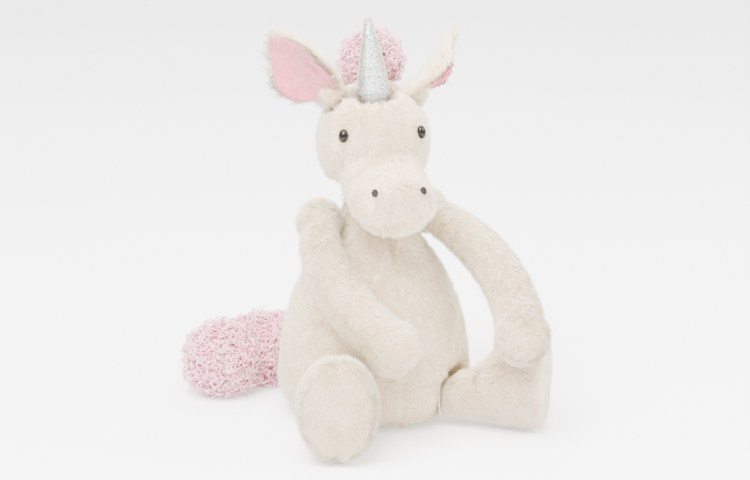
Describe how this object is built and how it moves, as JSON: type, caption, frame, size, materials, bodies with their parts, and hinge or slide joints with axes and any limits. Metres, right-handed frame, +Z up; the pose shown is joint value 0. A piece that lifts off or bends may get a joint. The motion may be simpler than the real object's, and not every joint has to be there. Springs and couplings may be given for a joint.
{
  "type": "plush unicorn",
  "caption": "Sitting plush unicorn with a stuffed pear-shaped body, hinged head, ears, arms, legs and tail, and a small soft horn.",
  "frame": {"origin": "centre of the flat seat, on the surface that the toy sits on", "axes": "+Z up, the toy faces -Y, its own left side is +X"},
  "size_m": [0.2318, 0.2373, 0.2809],
  "materials": {
    "cream_fur": "short dense faux fur pile",
    "curl_plush": "long curly plush pile",
    "ear_velour": "short-pile velour",
    "horn_lame": "iridescent metallic knit",
    "satin_stitch": "satin-stitch embroidery",
    "sewing_thread": "polyester thread",
    "fibre_stuffing": "loose polyester fibre",
    "pellet_pouch": "non-woven pouch filled with pellets",
    "woven_strip": "plain woven tape",
    "eye_gloss_plastic": "polished moulded plastic",
    "washer_plastic": "moulded plastic"
  },
  "bodies": {
    "torso": {"belly_panel_left": "cream_fur", "belly_panel_right": "cream_fur", "back_panel_left": "cream_fur", "back_panel_right": "cream_fur", "seat_panel": "cream_fur", "torso_stuffing": "fibre_stuffing", "seat_bean_pouch": "pellet_pouch"},
    "neck": {"neck_stitching": "sewing_thread"},
    "head": {"face_gusset": "cream_fur", "head_side_left": "cream_fur", "head_side_right": "cream_fur", "muzzle_cover": "cream_fur", "chin_panel": "cream_fur", "head_stuffing": "fibre_stuffing", "eye_left": "eye_gloss_plastic", "eye_right": "eye_gloss_plastic", "eye_washer_left": "washer_plastic", "eye_washer_right": "washer_plastic", "nostril_left": "satin_stitch", "nostril_right": "satin_stitch", "mane_strip": "woven_strip", "mane_curls_front": "curl_plush", "mane_curls_back": "curl_plush"},
    "horn": {"horn_cover": "horn_lame", "horn_stuffing": "fibre_stuffing"},
    "ear_left": {"ear_outer_left": "cream_fur", "ear_lining_left": "ear_velour"},
    "shoulder_left": {"shoulder_stitching_left": "sewing_thread"},
    "arm_left": {"arm_outer_panel_left": "cream_fur", "arm_inner_panel_left": "cream_fur", "arm_stuffing_left": "fibre_stuffing", "paw_bean_pouch_left": "pellet_pouch"},
    "hip_left": {"hip_stitching_left": "sewing_thread"},
    "leg_left": {"leg_outer_panel_left": "cream_fur", "leg_inner_panel_left": "cream_fur", "sole_left": "cream_fur", "leg_stuffing_left": "fibre_stuffing", "foot_bean_pouch_left": "pellet_pouch"},
    "ear_right": {"ear_outer_right": "cream_fur", "ear_lining_right": "ear_velour"},
    "shoulder_right": {"shoulder_stitching_right": "sewing_thread"},
    "arm_right": {"arm_outer_panel_right": "cream_fur", "arm_inner_panel_right": "cream_fur", "arm_stuffing_right": "fibre_stuffing", "paw_bean_pouch_right": "pellet_pouch"},
    "hip_right": {"hip_stitching_right": "sewing_thread"},
    "leg_right": {"leg_outer_panel_right": "cream_fur", "leg_inner_panel_right": "cream_fur", "sole_right": "cream_fur", "leg_stuffing_right": "fibre_stuffing", "foot_bean_pouch_right": "pellet_pouch"},
    "tail_root": {"tail_stitching": "sewing_thread"},
    "tail": {"tail_cover": "curl_plush", "tail_stuffing": "fibre_stuffing"}
  },
  "joints": [
    {"name": "neck_turn", "type": "hinge", "parent": "torso", "child": "neck", "pos_m": [0, 0, 0.165], "axis": [0, 0, -1], "range_deg": [-18, 18]},
    {"name": "neck_nod", "type": "hinge", "parent": "neck", "child": "head", "pos_m": [0, 0, 0.165], "axis": [-0.9945, 0.1045, 0], "range_deg": [-4, 10]},
    {"name": "horn_tilt", "type": "hinge", "parent": "head", "child": "horn", "pos_m": [-0.00201, -0.00482, 0.23], "axis": [0.9945, -0.1045, 0], "range_deg": [-3, 8]},
    {"name": "ear_flop_left", "type": "hinge", "parent": "head", "child": "ear_left", "pos_m": [0.02916, -0.00005, 0.228], "axis": [0.1045, 0.9945, 0], "range_deg": [-8, 18]},
    {"name": "shoulder_spread_left", "type": "hinge", "parent": "torso", "child": "shoulder_left", "pos_m": [0.037, -0.001, 0.144], "axis": [0, -1, 0], "range_deg": [0, 40]},
    {"name": "shoulder_swing_left", "type": "hinge", "parent": "shoulder_left", "child": "arm_left", "pos_m": [0.037, -0.001, 0.144], "axis": [-1, 0, 0], "range_deg": [0, 52]},
    {"name": "hip_spread_left", "type": "hinge", "parent": "torso", "child": "hip_left", "pos_m": [0.045, -0.049, 0.022], "axis": [0, 0, 1], "range_deg": [0, 12]},
    {"name": "hip_swing_left", "type": "hinge", "parent": "hip_left", "child": "leg_left", "pos_m": [0.045, -0.049, 0.022], "axis": [0.5299, 0.848, 0], "range_deg": [0, 50]},
    {"name": "ear_flop_right", "type": "hinge", "parent": "head", "child": "ear_right", "pos_m": [-0.02853, 0.00602, 0.228], "axis": [-0.1045, -0.9945, 0], "range_deg": [-8, 18]},
    {"name": "shoulder_spread_right", "type": "hinge", "parent": "torso", "child": "shoulder_right", "pos_m": [-0.043, -0.008, 0.144], "axis": [0, 1, 0], "range_deg": [0, 5]},
    {"name": "shoulder_swing_right", "type": "hinge", "parent": "shoulder_right", "child": "arm_right", "pos_m": [-0.043, -0.008, 0.144], "axis": [-1, 0, 0], "range_deg": [0, 20]},
    {"name": "hip_spread_right", "type": "hinge", "parent": "torso", "child": "hip_right", "pos_m": [-0.04, -0.055, 0.022], "axis": [0, 0, -1], "range_deg": [-4, 12]},
    {"name": "hip_swing_right", "type": "hinge", "parent": "hip_right", "child": "leg_right", "pos_m": [-0.04, -0.055, 0.022], "axis": [0.9135, -0.4067, 0], "range_deg": [0, 50]},
    {"name": "tail_wag", "type": "hinge", "parent": "torso", "child": "tail_root", "pos_m": [0, 0.067, 0.03], "axis": [0, 0, -1], "range_deg": [0, 75]},
    {"name": "tail_lift", "type": "hinge", "parent": "tail_root", "child": "tail", "pos_m": [0, 0.067, 0.03], "axis": [0, 1, 0], "range_deg": [0, 30]}
  ]
}
